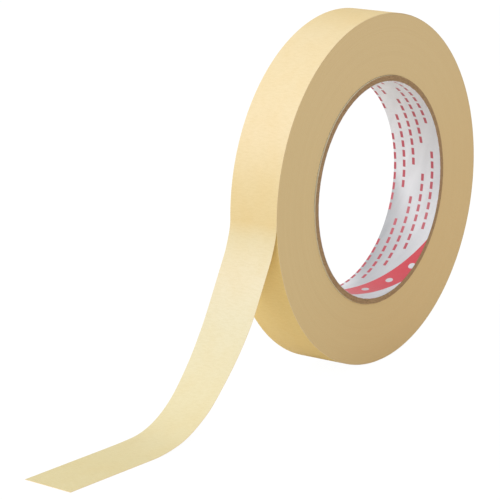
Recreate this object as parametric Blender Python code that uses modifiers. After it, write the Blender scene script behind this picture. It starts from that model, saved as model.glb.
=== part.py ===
"""Masking tape roll that stands on its edge, with the loose end of its tape led down to the table.

A paperboard core, wound from plies of board on a printed paper liner, carries about 150 turns of crepe paper tape.
Only the last turn and the free tail are single layers here. A rigid piece can't bend as tape does, so the front
quarter of the last turn and the tail are cut into links, each hinged to the one before it.

X runs along the core, the tail leaves towards -Y, and Z is up. The origin is on the table, under the middle of the
overall box. Outlines are drawn as (y, z) points about the centre of the roll, in the plane of the roll's side.
"""

import math

import bmesh
import bpy
from mathutils import Vector

# Driving dimensions, in metres
BORE_RADIUS = 0.0381
LINER_THICKNESS = 0.00012
PLY_THICKNESS = 0.00043
PLY_COUNT = 4
CORE_PROUD = 0.0004  # the core stands this far out of the tape on each side
TAPE_WIDTH = 0.01905
TAPE_THICKNESS = 0.00014
ROLL_RADIUS = 0.0618
TAIL_LENGTH = 0.1394

# The tail's bends, from the peel line to the table: length, and the angle from straight down that it turns to
FIRST_BEND = (0.0132, math.radians(29.4))
MIDDLE_BEND = (0.0297, math.radians(47.7))
TABLE_BEND = (0.0280, math.radians(90))

# Clearances
BOND_GAP = 0.00005  # a glue line or an adhesive film between two layers
HINGE_GAP = 0.0003  # between the ends of two links, with the hinge in its middle

# Divisions. With this number of facets the roll has a corner in front, at the peel line, and a flat underneath.
FACETS = 98
PEEL_LINKS = 6
FACETS_PER_PEEL_LINK = 4
TAIL_LINKS = 12
SEGMENTS_PER_TAIL_LINK = 4

# Derived sizes
FACET_ANGLE = 2 * math.pi / FACETS
TURN_PITCH = TAPE_THICKNESS + BOND_GAP
CORE_HALF_LENGTH = TAPE_WIDTH / 2 + CORE_PROUD
CORE_RADIUS = BORE_RADIUS + LINER_THICKNESS + PLY_COUNT * (PLY_THICKNESS + BOND_GAP)
PEEL_FACETS = PEEL_LINKS * FACETS_PER_PEEL_LINK
WELD_DISTANCE = 0.000001
SMOOTH_ANGLE = math.radians(30)

# Finishes: linear base colour and roughness
LINER_PAPER = ((0.70, 0.68, 0.69), 0.45)
CORE_BOARD = ((0.25, 0.15, 0.09), 0.85)
TAPE_SIDE = ((0.55, 0.41, 0.21), 0.70)
TAPE_FACE = ((0.86, 0.72, 0.42), 0.55)


def tape_radius(unwound):
    """Radius of the last turn's middle layer, at an angle from the peel line back over the top of the roll."""
    return ROLL_RADIUS - TAPE_THICKNESS / 2 - TURN_PITCH * unwound / (2 * math.pi)


def around(radius, unwound):
    """Point at that angle from the peel line, which faces -Y, back over the top of the roll."""
    return Vector((-radius * math.cos(unwound), radius * math.sin(unwound)))


def wound_path(first_facet, last_facet):
    """The last turn's middle layer, corner by corner, counted in facets back from the peel line."""
    way = 1 if last_facet > first_facet else -1
    angles = [facet * FACET_ANGLE for facet in range(first_facet, last_facet + way, way)]
    return [around(tape_radius(angle), angle) for angle in angles]


def follow(start, heading, length, turned_to):
    """End of an arc of that length, which starts at an angle from straight down and turns to another."""
    turn = turned_to - heading
    chord = length * math.sin(turn / 2) / (turn / 2) if abs(turn) > 1e-9 else length
    aim = heading + turn / 2
    return start - chord * Vector((math.sin(aim), math.cos(aim)))


def roll_height():
    """Height of the roll's centre over the table: the last turn's lowest corner, on its outer side."""
    lowest = min(point.y for point in wound_path(PEEL_FACETS, FACETS))
    return -lowest + TAPE_THICKNESS / 2


def tail_arcs():
    """The tail's arcs in order, with the straight run that brings it down flat and the flat end on the table."""
    end, heading = Vector((0, 0)), 0.0
    for length, turned_to in (FIRST_BEND, MIDDLE_BEND, TABLE_BEND):
        end = follow(end, heading, length, turned_to)
        heading = turned_to
    steep = FIRST_BEND[1]
    straight = (roll_height() - TAPE_THICKNESS / 2 + end.y) / math.cos(steep)
    flat = TAIL_LENGTH - straight - FIRST_BEND[0] - MIDDLE_BEND[0] - TABLE_BEND[0]
    return [FIRST_BEND, (straight, steep), MIDDLE_BEND, TABLE_BEND, (flat, TABLE_BEND[1])]


def tail_point(distance):
    """Point of the tail's middle layer, that far along it from the peel line."""
    point, heading = around(tape_radius(0), 0), 0.0
    for length, turned_to in tail_arcs():
        part = min(distance, length)
        reached = heading + (turned_to - heading) * part / length
        point = follow(point, heading, part, reached)
        heading = turned_to
        distance -= part
        if distance <= 0:
            break
    return point


def trimmed(path, at_start=True, at_end=True):
    """The path with half a hinge gap taken off its ends."""
    points = [point.copy() for point in path]
    if at_start:
        points[0] += (points[1] - points[0]).normalized() * HINGE_GAP / 2
    if at_end:
        points[-1] += (points[-2] - points[-1]).normalized() * HINGE_GAP / 2
    return points


def collection(name):
    made = bpy.data.collections.new(name)
    bpy.context.scene.collection.children.link(made)
    return made


def principled(name, finish):
    colour, roughness = finish
    made = bpy.data.materials.new(name)
    made.use_nodes = True
    shader = made.node_tree.nodes["Principled BSDF"]
    shader.inputs["Base Color"].default_value = (*colour, 1)
    shader.inputs["Roughness"].default_value = roughness
    shader.inputs["Metallic"].default_value = 0
    return made


def finished(name, shape, finish, parent, location=(0, 0, 0)):
    """Makes a draft shape the piece of that name: modifiers applied, caps welded, smooth except at its edges."""
    graph = bpy.context.evaluated_depsgraph_get()
    mesh = bpy.data.meshes.new_from_object(shape.evaluated_get(graph), depsgraph=graph)
    bpy.data.objects.remove(shape)
    welded = bmesh.new()
    welded.from_mesh(mesh)
    bmesh.ops.remove_doubles(welded, verts=welded.verts, dist=WELD_DISTANCE)
    bmesh.ops.recalc_face_normals(welded, faces=welded.faces)
    welded.to_mesh(mesh)
    welded.free()
    mesh.shade_smooth()
    mesh.set_sharp_from_angle(angle=SMOOTH_ANGLE)
    mesh.materials.clear()
    mesh.materials.append(principled(name, finish))
    piece = bpy.data.objects.new(name, mesh)
    pieces.objects.link(piece)
    piece.parent = parent
    piece.location = location
    return piece


def draft(data):
    shape = bpy.data.objects.new("draft", data)
    pieces.objects.link(shape)
    return shape


def flat_curve(outlines, half_width, closed):
    """Draft of a 2D curve through each outline's points, pulled out by half_width to both sides of its plane."""
    curve = bpy.data.curves.new("outline", "CURVE")
    curve.dimensions = "2D"
    curve.fill_mode = "BOTH" if closed else "NONE"
    curve.extrude = half_width
    for outline in outlines:
        spline = curve.splines.new("POLY")
        spline.points.add(len(outline) - 1)
        spline.use_cyclic_u = closed
        for corner, point in zip(spline.points, outline):
            corner.co = (point.x, point.y, 0, 1)
    return draft(curve)


def turned_ring(inner, outer, half_length):
    """Draft of a ring turned about the roll's axis."""
    section = ((outer, half_length), (outer, -half_length), (inner, -half_length), (inner, half_length))
    profile = bpy.data.meshes.new("section")
    profile.from_pydata([(radius, 0, along) for radius, along in section], [(0, 1), (1, 2), (2, 3), (3, 0)], [])
    shape = draft(profile)
    screw = shape.modifiers.new("turn", "SCREW")
    screw.axis = "Z"
    screw.steps = screw.render_steps = FACETS
    screw.use_merge_vertices = True
    screw.merge_threshold = WELD_DISTANCE
    return shape


def ribbon(path, origin):
    """Draft of a length of tape along a path, drawn about its own origin."""
    shape = flat_curve([[point - origin for point in path]], TAPE_WIDTH / 2, closed=False)
    solidify = shape.modifiers.new("thickness", "SOLIDIFY")
    solidify.thickness = TAPE_THICKNESS
    solidify.offset = 0
    solidify.use_even_offset = True
    return shape


def build_core(axis):
    """The printed liner and the board plies, from the bore outwards."""
    radius = BORE_RADIUS + LINER_THICKNESS
    finished("core_liner", turned_ring(BORE_RADIUS, radius, CORE_HALF_LENGTH), LINER_PAPER, axis)
    for number in range(1, PLY_COUNT + 1):
        inner = radius + BOND_GAP
        radius = inner + PLY_THICKNESS
        finished(f"core_ply_{number}", turned_ring(inner, radius, CORE_HALF_LENGTH), CORE_BOARD, axis)


def build_wound_tape(axis):
    """All the turns under the last one: a spiral outside, with the step where the last turn runs on into it."""
    under = TAPE_THICKNESS / 2 + BOND_GAP
    angles = [facet * FACET_ANGLE for facet in range(FACETS + 1)]
    spiral = [around(tape_radius(angle) - under, angle) for angle in angles]
    hole = [around(CORE_RADIUS + BOND_GAP, angle) for angle in angles[:-1]]
    finished("wound_tape", flat_curve([spiral, hole], TAPE_WIDTH / 2, closed=True), TAPE_SIDE, axis)


def build_last_turn(axis):
    """The last turn, from the first peel hinge on top, down the back and under, to where it meets the step."""
    path = trimmed(wound_path(PEEL_FACETS, FACETS))
    finished("last_turn", ribbon(path, Vector((0, 0))), TAPE_FACE, axis)


def build_link(name, path, parent, parent_hinge, is_last=False):
    """A link of tape with its origin on its hinge, at the start of its path."""
    hinge = path[0]
    shape = ribbon(trimmed(path, at_end=not is_last), hinge)
    return finished(name, shape, TAPE_FACE, parent, (*(hinge - parent_hinge), 0)), hinge


def build_links(axis):
    """The chain from the top of the roll, down its front to the peel line, and on along the tail."""
    link, hinge = axis, Vector((0, 0))
    for number in range(PEEL_LINKS):
        start = PEEL_FACETS - number * FACETS_PER_PEEL_LINK
        path = wound_path(start, start - FACETS_PER_PEEL_LINK)
        link, hinge = build_link(f"peel_link_{number + 1}", path, link, hinge)
    segment = TAIL_LENGTH / (TAIL_LINKS * SEGMENTS_PER_TAIL_LINK)
    for number in range(TAIL_LINKS):
        first = number * SEGMENTS_PER_TAIL_LINK
        path = [tail_point((first + index) * segment) for index in range(SEGMENTS_PER_TAIL_LINK + 1)]
        is_last = number == TAIL_LINKS - 1
        link, hinge = build_link(f"tail_link_{number + 1}", path, link, hinge, is_last)


def roll_axis():
    """Empty at the roll's centre. Its X and Y are the Y and Z of the model, and its Z lies along the core."""
    reach = -tail_point(TAIL_LENGTH).x
    back = max(point.x for point in wound_path(PEEL_FACETS, FACETS)) + TAPE_THICKNESS / 2
    axis = bpy.data.objects.new("roll_axis", None)
    pieces.objects.link(axis)
    axis.location = (0, (reach - back) / 2, roll_height())
    axis.rotation_euler = (math.pi / 2, 0, math.pi / 2)
    return axis


for leftover in list(bpy.data.objects):
    bpy.data.objects.remove(leftover, do_unlink=True)
pieces = collection("masking_tape_roll")
centre = roll_axis()
build_core(centre)
build_wound_tape(centre)
build_last_turn(centre)
build_links(centre)
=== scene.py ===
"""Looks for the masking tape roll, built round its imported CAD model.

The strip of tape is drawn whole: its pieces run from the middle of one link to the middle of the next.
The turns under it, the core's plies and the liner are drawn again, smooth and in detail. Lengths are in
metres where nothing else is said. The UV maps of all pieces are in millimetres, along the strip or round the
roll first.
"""

import math

import bpy
import numpy as np
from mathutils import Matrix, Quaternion, Vector, noise


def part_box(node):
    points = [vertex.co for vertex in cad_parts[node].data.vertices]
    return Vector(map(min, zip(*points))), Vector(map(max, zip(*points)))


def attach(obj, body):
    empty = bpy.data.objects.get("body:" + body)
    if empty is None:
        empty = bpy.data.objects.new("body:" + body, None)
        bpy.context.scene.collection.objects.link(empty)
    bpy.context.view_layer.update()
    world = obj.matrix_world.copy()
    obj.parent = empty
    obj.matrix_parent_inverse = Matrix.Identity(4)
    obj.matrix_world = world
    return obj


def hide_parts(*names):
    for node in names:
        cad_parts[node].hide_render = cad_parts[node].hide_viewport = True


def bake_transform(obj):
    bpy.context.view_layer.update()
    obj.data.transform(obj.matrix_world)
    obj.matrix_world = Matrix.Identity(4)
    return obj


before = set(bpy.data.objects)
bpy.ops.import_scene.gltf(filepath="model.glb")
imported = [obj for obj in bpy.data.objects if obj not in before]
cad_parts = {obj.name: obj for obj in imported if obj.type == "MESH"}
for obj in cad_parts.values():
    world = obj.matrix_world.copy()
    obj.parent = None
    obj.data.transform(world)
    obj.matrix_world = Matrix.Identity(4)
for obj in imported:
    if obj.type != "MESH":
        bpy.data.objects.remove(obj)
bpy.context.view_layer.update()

# Sizes of the CAD model
BORE_RADIUS = 0.0381
LINER_THICKNESS = 0.00012
PLY_THICKNESS = 0.00043
PLY_COUNT = 4
CORE_HALF_LENGTH = 0.009925
HALF_WIDTH = 0.009525
TAPE_THICKNESS = 0.00014
ROLL_RADIUS = 0.0618
BOND_GAP = 0.00005
TURN_PITCH = TAPE_THICKNESS + BOND_GAP
FACETS = 98
FACET_ANGLE = 2 * math.pi / FACETS
PEEL_LINKS = 6
FACETS_PER_PEEL_LINK = 4
TAIL_LINKS = 12
TAIL_LENGTH = 0.1394
FIRST_BEND = (0.0132, math.radians(29.4))
MIDDLE_BEND = (0.0297, math.radians(47.7))
TABLE_BEND = (0.0280, math.radians(90))

MM = 0.001
SHARP_ANGLE = math.radians(40)
LAST_RADIUS = ROLL_RADIUS - TAPE_THICKNESS / 2  # of the strip's middle layer at the peel line

# The tail isn't quite straight. These places are in millimetres past the peel line.
LEAN = 0.0027  # how far its +X edge stands out in the middle of its bends
LEAN_GROWS = (28, 66)
LEAN_FADES = (73, 102)
PEEL_SWAY = 0.45  # millimetres towards -X, under the peel line
PEEL_SWAY_GROWS = (0, 10)
PEEL_SWAY_FADES = (38, 62)
TABLE_SWAY = 1.72  # millimetres towards +X, where it comes down on the table
TABLE_SWAY_GROWS = (55, 98)
TABLE_START = 90  # from here it heads back, after a short curve
TABLE_CURVE = 12
HEADING_BACK = 0.047  # slope of its way back, and of its cut end, which is square to that
CUT_STARTS = 134

low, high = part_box("core_liner")
CENTRE = (low + high) / 2


# ---------------------------------------------------------------- the strip's path

def tail_arcs():
    """The tail's arcs, from the peel line on: length, and the heading from straight down it turns to."""
    y, z, heading = 0.0, 0.0, 0.0
    for length, turned_to in (FIRST_BEND, MIDDLE_BEND, TABLE_BEND):
        y, z = follow(y, z, heading, length, turned_to)
        heading = turned_to
    steep = FIRST_BEND[1]
    straight = (CENTRE.z - TAPE_THICKNESS / 2 + z) / math.cos(steep)
    flat = TAIL_LENGTH - straight - FIRST_BEND[0] - MIDDLE_BEND[0] - TABLE_BEND[0]
    return [FIRST_BEND, (straight, steep), MIDDLE_BEND, TABLE_BEND, (flat, TABLE_BEND[1])]


def follow(y, z, heading, length, turned_to):
    """End of an arc of that length, which starts at a heading and turns to another."""
    turn = turned_to - heading
    chord = length * math.sin(turn / 2) / (turn / 2) if abs(turn) > 1e-9 else length
    aim = heading + turn / 2
    return y - chord * math.sin(aim), z - chord * math.cos(aim)


ARCS = tail_arcs()


def strip_at(distance):
    """(y, z, heading) of the strip's middle layer, that far past the peel line, or before it if negative.

    The heading is measured from straight down, and the strip's outer face looks along (-cos, sin) of it.
    """
    if distance <= 0:
        unwound = -distance / LAST_RADIUS
        radius = LAST_RADIUS - TURN_PITCH * unwound / (2 * math.pi)
        return CENTRE.y - radius * math.cos(unwound), CENTRE.z + radius * math.sin(unwound), unwound
    y, z, heading = -LAST_RADIUS, 0.0, 0.0
    for length, turned_to in ARCS:
        part = min(distance, length)
        reached = heading + (turned_to - heading) * part / length
        y, z = follow(y, z, heading, part, reached)
        heading = turned_to
        distance -= part
        if distance <= 1e-12:
            heading = reached
            break
    return CENTRE.y + y, CENTRE.z + z, heading


def lean_at(distance):
    """How far the strip's +X edge stands out of its straight place, where the tail twists in its bends."""
    return LEAN * swell(distance / MM, LEAN_GROWS, LEAN_FADES)


def drift_at(distance):
    """How far the strip's middle lies towards +X, where the tail sways on its way down and on the table."""
    d = distance / MM
    past = max(0.0, d - TABLE_START)
    in_curve = past < TABLE_CURVE
    back = HEADING_BACK * (past ** 2 / (2 * TABLE_CURVE) if in_curve else past - TABLE_CURVE / 2)
    return MM * (TABLE_SWAY * smoothstep(d, *TABLE_SWAY_GROWS) - back
                 - PEEL_SWAY * swell(d, PEEL_SWAY_GROWS, PEEL_SWAY_FADES))


def facet_distance(facet):
    """Distance of a CAD facet's corner from the peel line, on the roll."""
    return -facet * FACET_ANGLE * LAST_RADIUS


# ---------------------------------------------------------------- small helpers

def new_piece(name, verts, faces, materials, uv, material_index=None, uv_turn=None):
    """Mesh object from points in the row frame, with a UV pair in millimetres for each point.

    Where the first coordinate runs round the piece and starts again, uv_turn is its length, and faces that
    cross the start take the points there one turn further on.
    """
    mesh = bpy.data.meshes.new(name)
    mesh.from_pydata([tuple(v) for v in verts], [], faces)
    layer = mesh.uv_layers.new(name="strip")
    loops = np.zeros(len(mesh.loops), np.int32)
    mesh.loops.foreach_get("vertex_index", loops)
    corners = np.asarray(uv, np.float32)[loops]
    if uv_turn:
        for face in mesh.polygons:
            first = corners[face.loop_start:face.loop_start + face.loop_total, 0]
            first[first < first.max() - uv_turn / 2] += uv_turn
    layer.data.foreach_set("uv", corners.ravel())
    for material in materials:
        mesh.materials.append(material)
    if material_index is not None:
        mesh.polygons.foreach_set("material_index", np.asarray(material_index, np.int32))
    mesh.shade_smooth()
    mesh.set_sharp_from_angle(angle=SHARP_ANGLE)
    mesh.validate()
    piece = bpy.data.objects.new(name, mesh)
    bpy.context.scene.collection.objects.link(piece)
    return piece


def smoothstep(value, low_edge, high_edge):
    """Rises from 0 at one edge to 1 at the other, level at both."""
    t = min(1.0, max(0.0, (value - low_edge) / (high_edge - low_edge)))
    return t * t * (3 - 2 * t)


def swell(value, grows, fades):
    """Rises from 0 to 1 over one pair of edges and falls back to 0 over the next."""
    return smoothstep(value, *grows) * smoothstep(-value, -fades[1], -fades[0])


# ---------------------------------------------------------------- materials

class Nodes:
    """Short ways to add nodes to a material."""

    def __init__(self, name):
        self.material = bpy.data.materials.new(name)
        self.material.use_nodes = True
        self.tree = self.material.node_tree
        self.shader = self.tree.nodes["Principled BSDF"]
        self.set("Metallic", 0.0)

    def set(self, socket, value):
        if hasattr(value, "is_output"):
            self.tree.links.new(value, self.shader.inputs[socket])
        else:
            self.shader.inputs[socket].default_value = value

    def node(self, kind, inputs=None, **settings):
        made = self.tree.nodes.new(kind)
        for key, value in settings.items():
            setattr(made, key, value)
        for key, value in (inputs or {}).items():
            if hasattr(value, "is_output"):
                self.tree.links.new(value, made.inputs[key])
            else:
                made.inputs[key].default_value = value
        return made

    def uv(self):
        """The strip's coordinates: along and across, in millimetres."""
        made = self.node("ShaderNodeUVMap", uv_map="strip")
        split = self.node("ShaderNodeSeparateXYZ", {"Vector": made.outputs["UV"]})
        return split.outputs["X"], split.outputs["Y"]

    def math(self, operation, *values):
        return self.node("ShaderNodeMath", dict(enumerate(values)), operation=operation).outputs[0]

    def vector(self, x=0.0, y=0.0, z=0.0):
        return self.node("ShaderNodeCombineXYZ", {"X": x, "Y": y, "Z": z}).outputs[0]

    def noise(self, vector, detail, roughness, distortion=0.0):
        """Noise from 0 to 1 in cells about 1 unit across."""
        made = self.node("ShaderNodeTexNoise", {
            "Vector": vector, "Scale": 1.0, "Detail": detail, "Roughness": roughness,
            "Distortion": distortion})
        return made.outputs["Fac"]

    def cells(self, along, across, size_along, size_across, detail=2.0, roughness=0.5, distortion=0.0):
        """Noise in cells of those sizes in millimetres, along and across."""
        place = self.vector(self.math("DIVIDE", along, size_along), self.math("DIVIDE", across, size_across))
        return self.noise(place, detail, roughness, distortion)

    def tint(self, colour, share, tone):
        """The colour multiplied by a tone, as far as share says."""
        return self.mix(1.0, colour, self.mix(share, (1.0, 1.0, 1.0), tone), "MULTIPLY")

    def total(self, *parts):
        """Sum of values, each given with its weight."""
        weighted = [self.math("MULTIPLY", value, weight) for value, weight in parts]
        result = weighted[-1]
        for value in weighted[-2::-1]:
            result = self.math("ADD", value, result)
        return result

    def ring_noise(self, round_core, across, cell, detail, roughness, seed):
        """Noise that closes on itself round the core. The cell's size is in millimetres, round and across."""
        angle = self.math("DIVIDE", round_core, CORE_UV_RADIUS)
        reach = CORE_UV_RADIUS / cell[0]
        place = self.vector(
            self.math("MULTIPLY", self.math("COSINE", angle), reach),
            self.math("MULTIPLY", self.math("SINE", angle), reach),
            self.math("MULTIPLY_ADD", across, 1 / cell[1], seed * SEED_SPACING))
        return self.noise(place, detail, roughness)

    def rise(self, value, low_edge, high_edge, low_value=0.0, high_value=1.0, smooth=True):
        """Maps value from the edges to the values, and holds it outside them."""
        made = self.node("ShaderNodeMapRange", {
            "Value": value, "From Min": low_edge, "From Max": high_edge,
            "To Min": low_value, "To Max": high_value})
        made.interpolation_type = "SMOOTHSTEP" if smooth else "LINEAR"
        return made.outputs["Result"]

    def mix(self, factor, first, second, blend="MIX"):
        made = self.node("ShaderNodeMix", data_type="RGBA", blend_type=blend)
        for index, value in ((0, factor), (6, first), (7, second)):
            if hasattr(value, "is_output"):
                self.tree.links.new(value, made.inputs[index])
            else:
                made.inputs[index].default_value = value if index == 0 else (*value, 1)
        return made.outputs[2]

    def bump(self, height, distance):
        made = self.node("ShaderNodeBump", {"Height": height, "Distance": distance, "Strength": 1.0})
        self.set("Normal", made.outputs["Normal"])


CORE_UV_RADIUS = 40.0  # millimetres: the UV maps of the core's plies run round it at this radius
SEED_SPACING = 17.3  # keeps the noise of two seeds well apart
CREPE_ALONG = 0.52  # millimetres between wrinkles, along the strip
CREPE_ACROSS = 2.4  # millimetres, about how far one wrinkle runs across it


def crepe_of(nodes, along, across):
    """Height of the paper's fine crepe, from 0 to 1. Its wrinkles run across the strip."""
    return nodes.cells(along, across, CREPE_ALONG, CREPE_ACROSS, 3.0, 0.55, 0.3)


# Tones of the creped face, by distance past the peel line in millimetres. Where other layers lie close under
# the tape they show through and deepen it. Low on the front, where the face looks down and lies under the
# tail, it is painted brighter and warmer, as painted light from below and through the tail. The single layer
# is paler and greener, painted so for the light that shines through it from behind, and the end on the table
# is deeper again.
FACE_TONES_AND_LIGHT = (
    (-420, (0.840, 0.680, 0.385)),
    (-396, (0.850, 0.680, 0.365)),
    # Painted light: brighter and warmer low on the front, where the face looks down and lies under the tail.
    (-384, (0.970, 0.735, 0.305)),
    (-335, (0.960, 0.725, 0.310)),
    (-250, (0.860, 0.690, 0.370)),
    (-130, (0.815, 0.618, 0.280)),
    (-92, (0.820, 0.640, 0.325)),
    (-72, (0.840, 0.690, 0.415)),
    (-30, (0.820, 0.675, 0.422)),
    (-11, (0.770, 0.615, 0.335)),
    (0, (0.770, 0.605, 0.315)),
    (6, (0.755, 0.645, 0.400)),
    # Painted light: the single layer is paler and greener for light shining through it from behind.
    (20, (0.790, 0.700, 0.490)),
    (36, (0.765, 0.695, 0.480)),
    (75, (0.770, 0.680, 0.415)),
    (110, (0.745, 0.645, 0.357)),
)


def tape_face_material():
    """Creped face, with a tone that follows how many layers lie under it, and painted light low on the front
    under the tail and on the hanging single layer.
    """
    n = Nodes("tape_face")
    along, across = n.uv()
    crepe = crepe_of(n, along, across)
    fibre = n.cells(along, across, 0.28, 0.5, 2.0, 0.6)
    blotch = n.cells(along, across, 14.0, 9.0, 3.0, 0.5)
    first, last = FACE_TONES_AND_LIGHT[0][0], FACE_TONES_AND_LIGHT[-1][0]
    ramp = n.node("ShaderNodeValToRGB", {"Fac": n.rise(along, first, last, smooth=False)})
    stops = ramp.color_ramp.elements
    for index, (place, tone) in enumerate(FACE_TONES_AND_LIGHT):
        stop = stops[index] if index < 2 else stops.new(1.0)
        stop.position = (place - first) / (last - first)
        stop.color = (*tone, 1)
    texture = n.total((crepe, 0.55), (fibre, 0.45))
    # The tone follows the bump's heights: partly the fibre's own grain, partly painted shade that darkens the
    # crepe's low wrinkles.
    shade = n.mix(n.rise(texture, 0.30, 0.64), (0.965, 0.955, 0.920), (1.030, 1.035, 1.060))
    colour = n.mix(1.0, ramp.outputs["Color"], shade, "MULTIPLY")
    n.set("Base Color", n.tint(colour, n.rise(blotch, 0.35, 0.75), (0.995, 0.975, 0.935)))
    n.set("Roughness", n.rise(texture, 0.25, 0.75, 0.62, 0.50, smooth=False))
    n.set("Specular IOR Level", 0.22)
    n.bump(texture, 0.000016)
    return n.material


def tape_inner_material():
    """Adhesive side: the same paper under a thin, tacky film, smoother and with faint coating streaks."""
    n = Nodes("tape_adhesive")
    along, across = n.uv()
    crepe = crepe_of(n, along, across)
    streak = n.cells(along, across, 14.0, 2.2)
    tone = n.total((crepe, 0.6), (streak, 0.4))
    n.set("Base Color", n.mix(n.rise(tone, 0.3, 0.7), (0.795, 0.665, 0.370), (0.855, 0.735, 0.440)))
    n.set("Roughness", n.rise(crepe, 0.3, 0.7, 0.50, 0.40, smooth=False))
    n.set("Specular IOR Level", 0.4)
    n.bump(crepe, 0.000009)
    return n.material


def tape_edge_material():
    """Slit edge of the strip: cut fibre, warmer than the face."""
    n = Nodes("tape_edge")
    along, across = n.uv()
    fibre = n.cells(along, across, 0.3, 1.0, 3.0, 0.6)
    n.set("Base Color", n.mix(n.rise(fibre, 0.3, 0.7), (0.93, 0.69, 0.39), (0.98, 0.77, 0.49)))
    n.set("Roughness", n.rise(fibre, 0.3, 0.7, 0.75, 0.6, smooth=False))
    return n.material


# How the tone drifts round the side, with painted light and shade: the middle of each tint in degrees from
# the front over the top, the cosine of the angle from there at which it ends, and the tint. The side is
# painted paler on top, as painted light, and darker and warmer low at the back, as painted shade near the
# floor; low in front it is cooler.
SIDE_LIGHT_AND_SHADE_TINTS = (
    (235, -0.5, (0.975, 0.926, 0.876)),
    (95, -0.2, (1.0, 1.03, 1.10)),
    (335, 0.0, (0.96, 0.995, 1.01)),
)


def pack_side_material():
    """Side of the wound turns: slit edges of paper and adhesive, turn by turn."""
    n = Nodes("pack_side")
    round_roll, radius = n.uv()
    turns = n.cells(round_roll, radius, 60.0, 0.24, 3.0, 0.6)
    bands = n.cells(round_roll, radius, 160.0, 2.6)
    grain = n.cells(round_roll, radius, 0.5, 0.2, 2.0, 0.6)
    tone = n.total((turns, 0.55), (bands, 0.25), (grain, 0.20))
    paper = n.mix(n.rise(tone, 0.32, 0.66), (0.766, 0.553, 0.275), (0.816, 0.606, 0.310))
    angle = n.math("DIVIDE", round_roll, radius)
    # Painted light and shade: paler on top, darker and warmer low at the back.
    for middle, edge, tint in SIDE_LIGHT_AND_SHADE_TINTS:
        near = n.rise(n.math("COSINE", n.math("SUBTRACT", angle, math.radians(middle))), edge, 1.0)
        paper = n.tint(paper, near, tint)
    n.set("Base Color", paper)
    n.set("Roughness", n.rise(grain, 0.3, 0.7, 0.80, 0.66, smooth=False))
    n.set("Specular IOR Level", 0.25)
    n.bump(tone, 0.000014)
    return n.material


def board_material(number):
    """Raw core board: brown recycled fibre with dark specks. Every other ply is a shade darker."""
    n = Nodes(f"core_board_{number}")
    round_core, across = n.uv()
    fibre = n.ring_noise(round_core, across, (1.6, 0.35), 4.0, 0.65, number)
    speck = n.ring_noise(round_core, across, (0.5, 0.5), 1.0, 0.5, number + 10)
    blotch = n.ring_noise(round_core, across, (7.0, 3.0), 2.0, 0.5, number + 20)
    shade = 1.0 - 0.05 * (number % 2)
    base = n.mix(n.rise(fibre, 0.3, 0.7), (0.35 * shade, 0.215 * shade, 0.108 * shade),
                 (0.53 * shade, 0.345 * shade, 0.190 * shade))
    base = n.mix(n.rise(blotch, 0.35, 0.7, 0.0, 0.4), base, (0.39 * shade, 0.25 * shade, 0.14 * shade))
    n.set("Base Color", n.mix(n.rise(speck, 0.66, 0.74), base, (0.16, 0.11, 0.08)))
    n.set("Roughness", n.rise(fibre, 0.3, 0.7, 0.95, 0.80, smooth=False))
    n.set("Specular IOR Level", 0.2)
    n.bump(n.math("ADD", fibre, n.math("MULTIPLY", speck, 0.4)), 0.00004)
    return n.material


def board_wall_highlight_material():
    """Outside of the core: the board's smooth, greyer face, painted light grey as a highlight where it stands
    out of the tape.
    """
    n = Nodes("core_board_wall_highlight")
    round_core, across = n.uv()
    fibre = n.ring_noise(round_core, across, (2.4, 0.8), 3.0, 0.6, 1)
    # Painted highlight: the outside is painted a light grey so that it shows as a light line where it stands
    # out of the tape.
    n.set("Base Color", n.mix(n.rise(fibre, 0.3, 0.7), (0.66, 0.61, 0.46), (0.80, 0.75, 0.59)))
    n.set("Roughness", n.rise(fibre, 0.3, 0.7, 0.85, 0.70, smooth=False))
    n.set("Specular IOR Level", 0.25)
    n.bump(fibre, 0.00002)
    return n.material


# The liner's print, in millimetres. The slanted coordinate is the way round the bore, from the top over the
# back, plus the slant times the place across, so that it is the same all along the slanted seam.
PRINT_SLANT = 2.2
TURN_LENGTH = 2 * math.pi * BORE_RADIUS / MM
ROW_PITCH = 4.0
FIRST_ROW = -9.5
DASH_PITCH = 3.75
DASH_LENGTH = 2.6
DASH_HEIGHT = 1.15
DASH_BLOCKS = (-92.5, -52.5, -13.0, 27.0, 67.5)  # where each starts, on the slanted coordinate
BLOCK_LENGTH = 30.0
BAND_START, BAND_WIDTH = 107.5, 20.8
DOT_PITCH = 10.15
DOT_RADIUS = 1.35
FIRST_DOT = 2.0
INK_EDGE = 0.08  # half the width of a dash's or the band's soft edge
DOT_EDGE = 0.1


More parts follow.
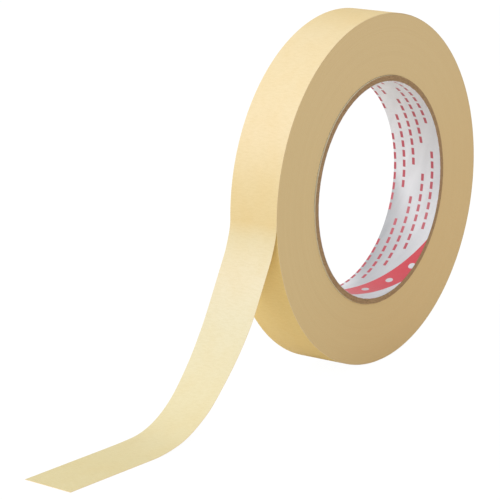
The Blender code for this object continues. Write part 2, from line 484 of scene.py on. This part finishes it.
def liner_material():
    """White liner paper, printed with rows of plain red dashes and a slanted red band with white dots."""
    n = Nodes("liner_paper")
    slanted, across = n.uv()

    def inside(value, centre, half):
        away = n.math("ABSOLUTE", n.math("SUBTRACT", value, centre))
        return n.rise(away, half - INK_EDGE, half + INK_EDGE, 1.0, 0.0, smooth=False)

    def nearest_step(value, pitch):
        return n.math("MULTIPLY", n.math("ROUND", n.math("DIVIDE", value, pitch)), pitch)

    # Rows lie round the core, so a row's dashes keep their place along the core
    row_centre = n.math("ADD", nearest_step(n.math("SUBTRACT", across, FIRST_ROW), ROW_PITCH), FIRST_ROW)
    off_row = n.math("SUBTRACT", across, row_centre)
    along_row = n.math("SUBTRACT", slanted, n.math("MULTIPLY", off_row, PRINT_SLANT))
    in_row = inside(off_row, 0.0, DASH_HEIGHT / 2)
    dashes = None
    for start in DASH_BLOCKS:
        block = inside(along_row, start + (BLOCK_LENGTH - DASH_PITCH + DASH_LENGTH) / 2, BLOCK_LENGTH / 2)
        phase = n.math("SUBTRACT", along_row, start + DASH_LENGTH / 2)
        dash = n.math("MULTIPLY", block, inside(phase, nearest_step(phase, DASH_PITCH), DASH_LENGTH / 2))
        dashes = dash if dashes is None else n.math("MAXIMUM", dashes, dash)
    dashes = n.math("MULTIPLY", dashes, in_row)

    band_middle = BAND_START + BAND_WIDTH / 2
    band = inside(slanted, band_middle, BAND_WIDTH / 2)
    # Dots lie on the band's middle line. past_middle is at right angles to it.
    length = math.hypot(PRINT_SLANT, 1)
    past_middle = n.math("DIVIDE", n.math("SUBTRACT", slanted, band_middle), length)
    along_band = n.total((across, length), (past_middle, -PRINT_SLANT))
    past_first = n.math("SUBTRACT", along_band, FIRST_DOT)
    off_dot = n.math("SUBTRACT", past_first, nearest_step(past_first, DOT_PITCH))
    from_dot = n.math("SQRT", n.math("ADD", n.math("MULTIPLY", off_dot, off_dot),
                                     n.math("MULTIPLY", past_middle, past_middle)))
    dot = n.rise(from_dot, DOT_RADIUS - DOT_EDGE, DOT_RADIUS + DOT_EDGE, 1.0, 0.0, smooth=False)

    grain = n.cells(slanted, across, 0.6, 0.6, 3.0, 0.6)
    cloud = n.cells(slanted, across, 11.0, 7.0)
    paper = n.mix(n.rise(cloud, 0.3, 0.7), (0.688, 0.702, 0.730), (0.747, 0.761, 0.791))
    # Painted light and shade: the liner is painted paler on top and towards its -X edge, and a painted shade
    # greys it low at the back there.
    round_bore = n.math("SUBTRACT", slanted, n.math("MULTIPLY", across, PRINT_SLANT))
    angle = n.math("MULTIPLY", round_bore, MM / BORE_RADIUS)  # from the top, over the back
    # Painted light: paler towards the -X edge, then paler on top.
    paper = n.tint(paper, n.rise(across, 6.0, -6.0), (1.07, 1.07, 1.07))
    paper = n.tint(paper, n.rise(n.math("COSINE", angle), 0.3, 0.95), (1.15, 1.15, 1.15))
    # Painted shade: a grey patch low at the back, towards the -X edge.
    low_back = n.math("MULTIPLY_ADD", across, math.radians(2.2), math.radians(150))
    painted_shade_patch = n.rise(n.math("COSINE", n.math("SUBTRACT", angle, low_back)), 0.72, 0.97)
    towards_edge = n.rise(across, 8.0, -9.0, smooth=False)
    paper = n.tint(paper, n.math("MULTIPLY", painted_shade_patch, towards_edge), (0.575, 0.58, 0.585))
    wear = n.rise(grain, 0.30, 0.44, 0.90, 1.0)
    ink = n.math("MULTIPLY", n.math("MAXIMUM", dashes, band), wear)
    ink = n.math("MULTIPLY", ink, n.math("SUBTRACT", 1.0, n.math("MULTIPLY", band, dot)))
    red = n.mix(band, (0.52, 0.095, 0.125), (0.69, 0.075, 0.100))
    n.set("Base Color", n.mix(ink, paper, red))
    n.set("Roughness", n.rise(ink, 0.0, 1.0, 0.50, 0.36, smooth=False))
    n.set("Specular IOR Level", 0.45)
    n.bump(grain, 0.000010)
    return n.material


TAPE_MATERIALS = [tape_face_material(), tape_inner_material(), tape_edge_material()]
FACE, INNER, EDGE = range(3)


# ---------------------------------------------------------------- the strip

ACROSS = 20  # cells across the strip
STEP = 0.00018  # of the strip's mesh, along
CREPE_HEIGHT = 0.0000075
EDGE_WANDER = 0.000012
INNER_WANDER = 0.6  # share of that which the edge of the inner face follows
LOWEST_FACE = TAPE_THICKNESS * 0.9  # the upper layer's least height over the table, where wrinkles reach down


def wrinkles(distance, across, size_along, size_across, seed, shift=0.0):
    """Noise in cells of those sizes in millimetres, from -1 to 1."""
    return noise.noise(Vector((distance / MM / size_along + shift, across / MM / size_across, seed)))


def crepe_height(distance, across):
    """Real wrinkles in the paper: ridges across the strip, broken up and wandering."""
    wander = 0.5 * wrinkles(distance, across, 3.0, 6.0, seed=7.3)
    ridges = wrinkles(distance, across, 0.5, 2.4, seed=1.7, shift=wander)
    broad = wrinkles(distance, across, 1.7, 3.2, seed=4.1)
    return CREPE_HEIGHT * (1.4 * ridges + 0.6 * broad)


def edge_wander(distance, side):
    """The slit edge's small waves, 2.6 mm long."""
    return EDGE_WANDER * noise.noise(Vector((distance / MM / 2.6, 3.0 * side, 11.0)))


def strip_piece(name, start, end):
    """Closed length of tape between two distances from the peel line, following the smooth path."""
    steps = max(2, round((end - start) / STEP))
    verts, uv = [], []
    for index in range(steps + 1):
        distance = start + (end - start) * index / steps
        y, z, heading = strip_at(distance)
        out_y, out_z = -math.cos(heading), math.sin(heading)
        drift, lean = drift_at(distance), lean_at(distance)
        slant = HEADING_BACK * smoothstep(distance / MM, CUT_STARTS, TAIL_LENGTH / MM)
        for layer in (1, -1):  # outer face, then inner
            # Under the roll the outer face is the lower one, and on the tail the inner
            lowest = 0.0 if (layer > 0) == (distance < 0) else LOWEST_FACE
            for column in range(ACROSS + 1):
                share = 2 * column / ACROSS - 1
                x = share * HALF_WIDTH
                if abs(share) == 1:
                    x += edge_wander(distance, share) * (1 if layer > 0 else INNER_WANDER)
                away = layer * TAPE_THICKNESS / 2 + crepe_height(distance, x) + lean * (1 + share) / 2
                verts.append((x + drift, y + out_y * away - slant * x, max(z + out_z * away, lowest)))
                uv.append((distance / MM, x / MM))
    row, ring = ACROSS + 1, 2 * (ACROSS + 1)
    faces, kinds = [], []

    def add(kind, *corners):
        faces.append(corners[::-1])
        kinds.append(kind)

    for index in range(steps):
        a, b = index * ring, (index + 1) * ring
        for c in range(ACROSS):
            add(FACE, a + c, a + c + 1, b + c + 1, b + c)
            add(INNER, a + row + c, b + row + c, b + row + c + 1, a + row + c + 1)
        add(EDGE, a, b, b + row, a + row)
        add(EDGE, a + ACROSS, a + row + ACROSS, b + row + ACROSS, b + ACROSS)
    last = steps * ring
    for c in range(ACROSS):
        add(EDGE, c, row + c, row + c + 1, c + 1)
        add(EDGE, last + c, last + c + 1, last + row + c + 1, last + row + c)
    return new_piece(name, verts, faces, TAPE_MATERIALS, uv, kinds)


def on_strip(distance):
    """Point on the strip's middle line, without its lean and sway."""
    y, z, _ = strip_at(distance)
    return (0.0, y, z)


def build_strip():
    """The last turn and the tail, in pieces from link to link."""
    tail_link = TAIL_LENGTH / TAIL_LINKS
    bodies = ["roll"]
    # Up to the first of these places the strip is wholly the roll's
    middles = [facet_distance(FACETS_PER_PEEL_LINK * (PEEL_LINKS + 0.5))]
    for number in range(PEEL_LINKS):
        bodies.append(f"peel_link_{number + 1}")
        middles.append(facet_distance(FACETS_PER_PEEL_LINK * (PEEL_LINKS - number - 0.5)))
    for number in range(TAIL_LINKS):
        bodies.append(f"tail_link_{number + 1}")
        middles.append((number + 0.5) * tail_link)

    last_turn = strip_piece("tape_last_turn", facet_distance(FACETS), middles[0])
    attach(last_turn, "roll")
    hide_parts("last_turn")
    for number in range(1, len(bodies)):
        before, after = bodies[number - 1], bodies[number]
        piece = strip_piece("tape_" + after.replace("_link", ""), middles[number - 1], middles[number])
        # Where the strip can leave the roll, its bend would have to start past the hinge, or it would dip
        # into the roll.
        # The points found for it here are not used.
        leaves_roll = before == "roll" or after == "tail_link_1"
        hinge = facet_distance(FACETS_PER_PEEL_LINK * PEEL_LINKS) if before == "roll" else 0.0
        start = hinge if leaves_roll else middles[number - 1]
        on_strip(start)
        on_strip(middles[number])
        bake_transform(piece)
        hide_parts(after)
    end = strip_piece("tape_tail_end", middles[-1], TAIL_LENGTH)
    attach(end, bodies[-1])
    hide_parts(bodies[-1])


# ---------------------------------------------------------------- the turns under the last one

PACK_STEPS = 180  # round the roll
PACK_INNER = BORE_RADIUS + LINER_THICKNESS + PLY_COUNT * (PLY_THICKNESS + BOND_GAP) + BOND_GAP
PACK_OUTER = ROLL_RADIUS - TURN_PITCH
GROOVE_DEPTH = 0.000014
SIDE_INSET = 0.00002  # of the turns' edges, so that the last turn's stands out a little
TURN_SHIFT = 0.000016  # how far single turns stray along the core, as a slow noise along the spiral
SIDE_WAVE = 0.00002  # how far the whole side waves, as a broad noise round the roll
TREAD_COLUMNS = 8
SIDE, TREAD = range(2)


def build_pack():
    """All the wound turns: a true spiral of slit edges on both sides, and the tread the last turn lies on."""
    turns = int((PACK_OUTER - PACK_INNER) / TURN_PITCH)
    total = turns * PACK_STEPS
    verts, uv = [], []

    def place(radius, angle, x):
        z = max(CENTRE.z + radius * math.sin(angle), TURN_PITCH)
        verts.append((x, CENTRE.y - radius * math.cos(angle), z))

    # On each side, two rows run along the spiral: the groove outside each turn, and the turn's own middle
    rows = {}
    for side in (1, -1):
        for kind, inward, rise in (("groove", 0.0, -GROOVE_DEPTH), ("crest", 0.5, 0.0)):
            rows[side, kind] = len(verts)
            count = total + PACK_STEPS + 1 if kind == "groove" else total + 1
            for index in range(count):
                angle = 2 * math.pi * index / PACK_STEPS
                turn = index / PACK_STEPS + inward
                radius = PACK_OUTER - TURN_PITCH * turn
                along_spiral = Vector((angle * 0.35, side * 5.0, turn * 0.9))
                round_roll = Vector((math.cos(angle) * 1.3, math.sin(angle) * 1.3, turn * 0.07 + side))
                shift = TURN_SHIFT * noise.noise(along_spiral) + SIDE_WAVE * noise.noise(round_roll)
                place(radius, angle, side * (HALF_WIDTH - SIDE_INSET + rise + shift))
                uv.append((angle * radius / MM, radius / MM))
    faces, kinds = [], []

    def add(kind, flip, *corners):
        faces.append(corners[::-1] if flip else corners)
        kinds.append(kind)

    for side in (1, -1):
        groove, crest, flip = rows[side, "groove"], rows[side, "crest"], side > 0
        for index in range(total):
            g, c, inner = groove + index, crest + index, groove + index + PACK_STEPS
            add(SIDE, flip, g, g + 1, c + 1, c)
            add(SIDE, flip, c, c + 1, inner + 1, inner)
        # The spiral's two ends: the step on the outside and the start of the tape at the core
        add(SIDE, flip, groove, crest, groove + PACK_STEPS)
        add(SIDE, flip, groove + total, groove + total + PACK_STEPS, crest + total)

    def join_sides(first_row, flip):
        """One turn's band of faces between the two sides' groove rows, and its columns of points."""
        left, right = rows[1, "groove"] + first_row, rows[-1, "groove"] + first_row
        grid = []
        for index in range(PACK_STEPS + 1):
            start, end = Vector(verts[left + index]), Vector(verts[right + index])
            column = [left + index]
            for number in range(1, TREAD_COLUMNS):
                point = start.lerp(end, number / TREAD_COLUMNS)
                column.append(len(verts))
                verts.append(tuple(point))
                angle = 2 * math.pi * (first_row + index) / PACK_STEPS
                uv.append((-(2 * math.pi + angle) * LAST_RADIUS / MM, point.x / MM))
            column.append(right + index)
            grid.append(column)
        for here, following in zip(grid, grid[1:]):
            for number in range(TREAD_COLUMNS):
                add(TREAD, flip, here[number], here[number + 1], following[number + 1], following[number])
        return grid

    # The tread and the hole join the two sides, and a step closes each where its turn ends
    tread = join_sides(0, True)
    hole = join_sides(total, False)
    for grid, flip in ((tread, False), (hole, True)):
        add(TREAD, flip, *grid[0], *grid[-1][::-1])
    materials = [pack_side_material(), TAPE_MATERIALS[FACE]]
    pack = new_piece("tape_wound_turns", verts, faces, materials, uv, kinds)
    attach(pack, "roll")
    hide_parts("wound_tape")


# ---------------------------------------------------------------- the core

RING_STEPS = 288  # round the core
WALL_ROWS = 10  # along it
BEVEL = 0.00005  # rounding of the plies' cut edges
BEVEL_STEPS = 3
FRAY = 0.00003  # depth of their roughness
FRAY_CELL = 0.00025  # its size across the edge
FRAY_PER_RADIAN = 9


def ring_piece(name, inner, outer, materials, seed):
    """Closed ring round the roll's axis with rounded, slightly frayed cut edges.

    Its outside has the last material, and the rest the first.
    """
    half, bevel = CORE_HALF_LENGTH, BEVEL
    section = []
    for x_sign, r_edge, turn_from in ((1, outer, 90), (1, inner, 0), (-1, inner, -90), (-1, outer, 180)):
        toward_r = -1 if r_edge == outer else 1
        for part in range(BEVEL_STEPS + 1):
            turn = math.radians(turn_from - 90 * part / BEVEL_STEPS)
            section.append((
                r_edge + toward_r * bevel + bevel * math.sin(turn),
                x_sign * (half - bevel) + bevel * math.cos(turn)))
        if (r_edge == inner) == (x_sign > 0):  # the inner wall follows this corner, or the outer wall
            for number in range(1, WALL_ROWS):
                section.append((r_edge, x_sign * (half - bevel) * (1 - 2 * number / WALL_ROWS)))
    count = len(section)
    verts, uv = [], []
    around_section = 0.0
    for number, (radius, x) in enumerate(section):
        if number:
            around_section += math.dist(section[number - 1], (radius, x))
        for index in range(RING_STEPS):
            angle = 2 * math.pi * index / RING_STEPS
            rough = 0.0
            if abs(x) > half - 2 * bevel:
                place = FRAY_PER_RADIAN * Vector((math.cos(angle), math.sin(angle), 0))
                place.z = seed + radius / FRAY_CELL
                rough = FRAY * (noise.noise(place) + 0.5 * noise.noise(place * 3.1))
            r = radius + 0.25 * rough
            worn_x = x + math.copysign(1, x) * min(rough, 0.0)
            verts.append((worn_x, CENTRE.y - r * math.cos(angle), CENTRE.z + r * math.sin(angle)))
            uv.append((angle * CORE_UV_RADIUS, around_section / MM))
    faces, kinds = [], []
    for number in range(count):
        a, b = number * RING_STEPS, (number + 1) % count * RING_STEPS
        # The outside takes in the outer part of the rounding
        is_outside = min(section[number][0], section[(number + 1) % count][0]) > outer - 0.8 * bevel
        for index in range(RING_STEPS):
            following = (index + 1) % RING_STEPS
            faces.append((a + index, b + index, b + following, a + following))
            kinds.append(len(materials) - 1 if is_outside else 0)
    return new_piece(name, verts, faces, materials, uv, kinds, uv_turn=2 * math.pi * CORE_UV_RADIUS)


def build_plies():
    """The core's four plies of board, each over half the glue line inside it."""
    radius = BORE_RADIUS + LINER_THICKNESS
    for number in range(1, PLY_COUNT + 1):
        inner = radius + BOND_GAP * 0.5
        radius += BOND_GAP + PLY_THICKNESS
        materials = [board_material(number)]
        if number == PLY_COUNT:
            materials.append(board_wall_highlight_material())
        ply = ring_piece(f"core_board_{number}", inner, radius, materials, 3.7 * number)
        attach(ply, "roll")
        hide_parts(f"core_ply_{number}")


LINER_COLUMNS, LINER_ROWS = 300, 26
SEAM = 135.0  # the seam's place along the slanted coordinate, in millimetres
SEAM_GAP = 0.25
SEAM_COLUMNS = 3  # beside the seam, the sheet's inner face falls back a little over these columns
SEAM_LIFT = 0.00001  # in each of them


def build_liner():
    """One sheet of paper wound on a slant, with its two edges butted along a slanted seam."""
    columns, rows = LINER_COLUMNS, LINER_ROWS
    verts, uv = [], []
    for layer in (0, 1):
        radius = BORE_RADIUS + layer * LINER_THICKNESS
        for row in range(rows + 1):
            x = CORE_HALF_LENGTH * (2 * row / rows - 1)
            for column in range(columns + 1):
                slanted = SEAM + SEAM_GAP / 2 + (TURN_LENGTH - SEAM_GAP) * column / columns
                angle = (slanted - PRINT_SLANT * x / MM) * MM / BORE_RADIUS
                lift = 0.0
                near_edge = min(column, columns - column)
                if near_edge < SEAM_COLUMNS and layer == 0:
                    lift = SEAM_LIFT * (SEAM_COLUMNS - near_edge)
                r = radius + lift
                verts.append((x, CENTRE.y + r * math.sin(angle), CENTRE.z + r * math.cos(angle)))
                uv.append((slanted - TURN_LENGTH, x / MM))
    width, outer = columns + 1, (columns + 1) * (rows + 1)
    faces = []
    for row in range(rows):
        for column in range(columns):
            a = row * width + column
            faces.append((a, a + 1, a + width + 1, a + width))
            faces.append((outer + a, outer + a + width, outer + a + width + 1, outer + a + 1))
        for a, flip in ((row * width, False), (row * width + columns, True)):
            quad = (a, a + width, outer + a + width, outer + a)
            faces.append(quad[::-1] if flip else quad)
    for column in range(columns):
        for a, flip in ((column, True), (rows * width + column, False)):
            quad = (a, a + 1, outer + a + 1, outer + a)
            faces.append(quad[::-1] if flip else quad)
    liner = new_piece("core_liner_paper", verts, faces, [liner_material()], uv)
    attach(liner, "roll")
    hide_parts("core_liner")


# ---------------------------------------------------------------- stage, lights and camera

FLOOR_REACH = 6.0
FLOOR_DROP = 0.00003  # below the object, so that the two never coincide
LIGHT_AIM = Vector((0, 0, 0.05))


def build_stage():
    """White floor, which lights the object from below less than it shows to the camera."""
    corners = [(x * FLOOR_REACH, y * FLOOR_REACH, 0) for x, y in ((-1, -1), (1, -1), (1, 1), (-1, 1))]
    floor = bpy.data.meshes.new("floor")
    floor.from_pydata(corners, [], [(0, 1, 2, 3)])
    n = Nodes("floor_white")
    n.set("Base Color", (0.05, 0.05, 0.05, 1))
    n.set("Roughness", 1.0)
    n.set("Specular IOR Level", 0.0)
    n.set("Emission Color", (1, 1, 1, 1))
    n.set("Emission Strength", 0.98)
    bounce = n.node("ShaderNodeBsdfPrincipled", {
        "Base Color": (0.76, 0.74, 0.69, 1), "Roughness": 1.0, "Specular IOR Level": 0.0})
    path = n.node("ShaderNodeLightPath")
    both = n.node("ShaderNodeMixShader", {
        0: path.outputs["Is Camera Ray"], 1: bounce.outputs[0], 2: n.shader.outputs[0]})
    n.tree.links.new(both.outputs[0], n.tree.nodes["Material Output"].inputs["Surface"])
    floor.materials.append(n.material)
    made = bpy.data.objects.new("floor", floor)
    made.location = (0, 0, -FLOOR_DROP)
    bpy.context.scene.collection.objects.link(made)


def area_light(name, direction, distance, size, power):
    """Round soft light, that far from the object in that direction and turned to it."""
    light = bpy.data.lights.new(name, "AREA")
    light.shape = "DISK"
    light.size = size
    light.energy = power
    made = bpy.data.objects.new(name, light)
    toward = Vector(direction).normalized()
    made.location = LIGHT_AIM + toward * distance
    made.rotation_mode = "QUATERNION"
    made.rotation_quaternion = toward.to_track_quat("Z", "Y")
    bpy.context.scene.collection.objects.link(made)


def build_lights():
    """White surroundings, which light the object less than they show to the camera, and one soft key."""
    world = bpy.data.worlds.new("studio")
    bpy.context.scene.world = world
    world.use_nodes = True
    tree = world.node_tree
    background = tree.nodes["Background"]
    background.inputs["Color"].default_value = (1, 1, 1, 1)
    path = tree.nodes.new("ShaderNodeLightPath")
    strength = tree.nodes.new("ShaderNodeMapRange")
    strength.inputs["To Min"].default_value = 0.77
    strength.inputs["To Max"].default_value = 1.0
    tree.links.new(path.outputs["Is Camera Ray"], strength.inputs["Value"])
    tree.links.new(strength.outputs["Result"], background.inputs["Strength"])
    area_light("key", direction=(-0.35, -0.80, 0.60), distance=1.6, size=1.3, power=11.5)


CAMERA_PLACE = CENTRE + Vector((0.49106, -0.72638, 0.20382))
CAMERA_AIM = CENTRE + Vector((-0.02725, -0.0270, -0.02117))
CAMERA_ROLL = math.radians(-0.496)
CAMERA_LENS = 184.84
SENSOR_WIDTH = 36


def build_camera():
    """Long lens from a little above, in front of the roll's +X side, with a slight roll."""
    data = bpy.data.cameras.new("camera")
    data.lens = CAMERA_LENS
    data.sensor_width = SENSOR_WIDTH
    data.clip_start, data.clip_end = 0.01, 50
    camera = bpy.data.objects.new("camera", data)
    camera.location = CAMERA_PLACE
    camera.rotation_mode = "QUATERNION"
    level = (CAMERA_AIM - CAMERA_PLACE).to_track_quat("-Z", "Y")
    camera.rotation_quaternion = level @ Quaternion((0, 0, 1), CAMERA_ROLL)
    bpy.context.scene.collection.objects.link(camera)
    bpy.context.scene.camera = camera


build_strip()
build_pack()
build_plies()
build_liner()
build_stage()
build_lights()
build_camera()
bpy.context.scene.view_settings.view_transform = "Standard"
bpy.context.scene.view_settings.look = "None"
